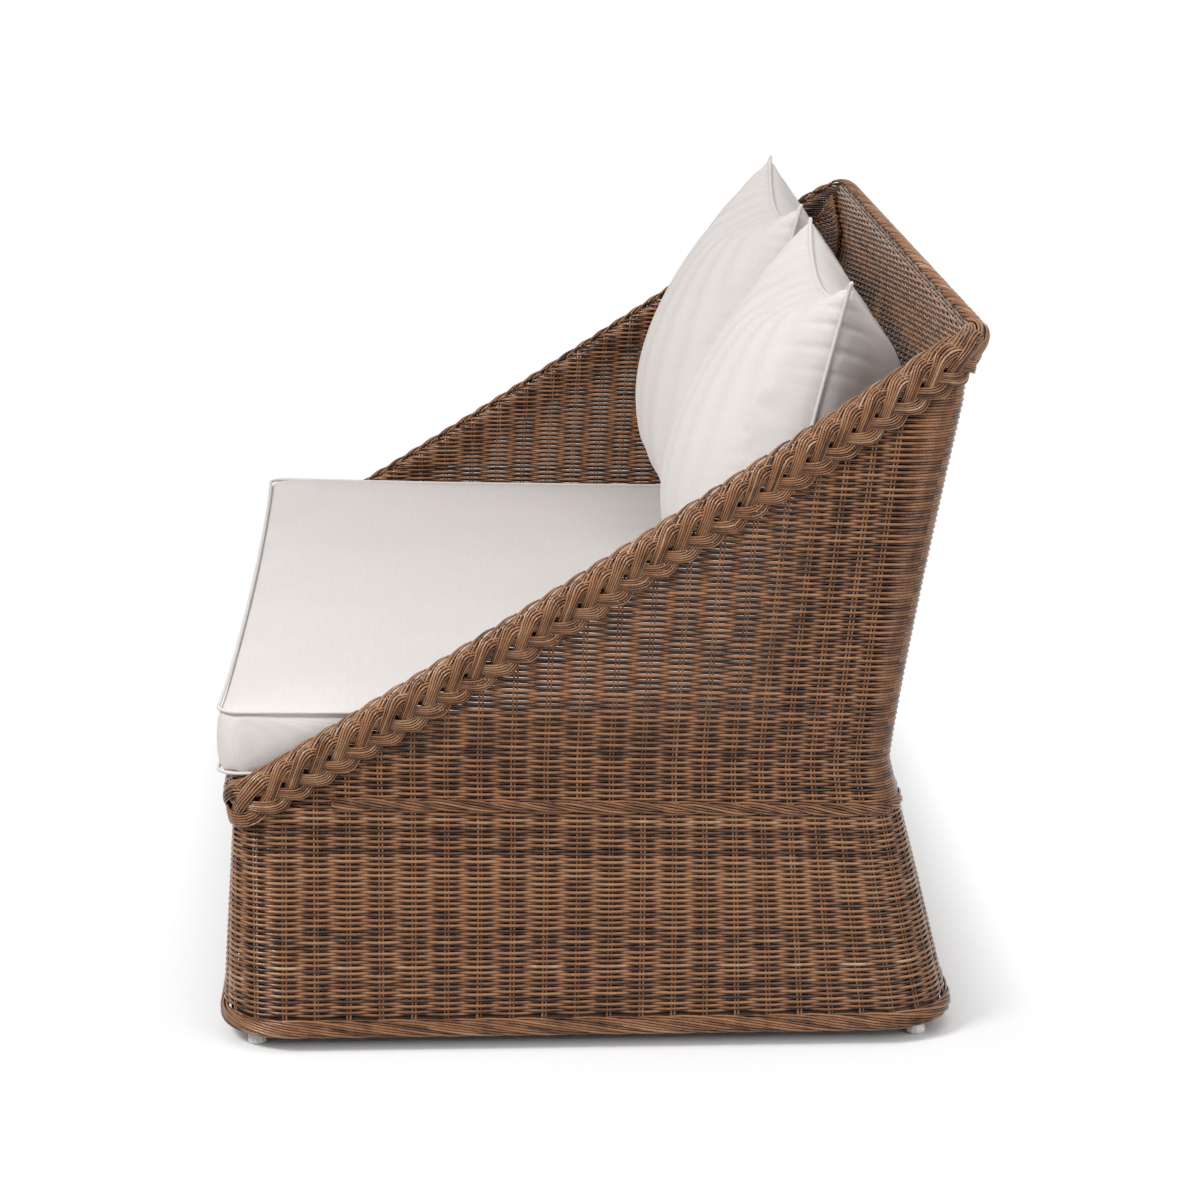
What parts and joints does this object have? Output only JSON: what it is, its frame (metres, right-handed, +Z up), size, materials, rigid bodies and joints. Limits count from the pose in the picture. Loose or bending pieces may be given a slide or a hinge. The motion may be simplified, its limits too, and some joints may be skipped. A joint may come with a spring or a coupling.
{
  "type": "rattan garden sofa",
  "caption": "Low woven rattan garden sofa with a tub body that flares out to floor and rim, a plaited rim sloping from back to front, a boxed seat cushion and loose back pillows.",
  "frame": {"origin": "on the floor, under the middle of the bounding box", "axes": "+X along the seat's width, +Y from the seat's front to its back, +Z up"},
  "size_m": [1.41, 0.8487, 0.845],
  "materials": {
    "cane": "satin stained cane",
    "pole": "satin stained rattan pole",
    "canvas": "matt woven canvas",
    "glide": "smooth moulded"
  },
  "bodies": {
    "frame": {"arm_rail_left": "pole", "arm_rail_right": "pole", "back_post_left": "pole", "back_post_right": "pole", "back_wall": "cane", "border_back": "cane", "border_front": "cane", "border_left": "cane", "border_right": "cane", "front_post_left": "pole", "front_post_right": "pole", "glide_back_left": "glide", "glide_back_middle": "glide", "glide_back_right": "glide", "glide_front_left": "glide", "glide_front_middle": "glide", "glide_front_right": "glide", "left_wall": "cane", "middle_post_back": "pole", "middle_post_front": "pole", "plait_back_a": "cane", "plait_back_b": "cane", "plait_back_c": "cane", "plait_front_a": "cane", "plait_front_b": "cane", "plait_front_c": "cane", "plait_left_a": "cane", "plait_left_b": "cane", "plait_left_c": "cane", "plait_right_a": "cane", "plait_right_b": "cane", "plait_right_c": "cane", "right_wall": "cane", "rim_rail_back": "pole", "rim_rail_front": "pole", "ring_back": "pole", "ring_front": "pole", "ring_left": "pole", "ring_right": "pole", "seat_bearer_left": "pole", "seat_bearer_middle": "pole", "seat_bearer_right": "pole", "seat_deck": "cane", "seat_rail_back": "pole", "seat_rail_front": "pole", "seat_rail_left": "pole", "seat_rail_right": "pole", "skirt_back": "cane", "skirt_front": "cane", "skirt_left": "cane", "skirt_right": "cane", "wale_back": "cane", "wale_left": "cane", "wale_right": "cane"},
    "seat_cushion": {"seat_cushion": "canvas"},
    "back_pillow_right": {"back_pillow_right": "canvas"},
    "back_pillow_left": {"back_pillow_left": "canvas"}
  },
  "joints": [
    {"name": "seat_cushion_lift", "type": "slide", "parent": "frame", "child": "seat_cushion", "axis": [0, 0, 1], "range_m": [0, 0.51]},
    {"name": "back_pillow_right_lift", "type": "slide", "parent": "seat_cushion", "child": "back_pillow_right", "axis": [0, 0, 1], "range_m": [0, 0.46]},
    {"name": "back_pillow_left_lift", "type": "slide", "parent": "seat_cushion", "child": "back_pillow_left", "axis": [0, 0, 1], "range_m": [0, 0.46]}
  ]
}
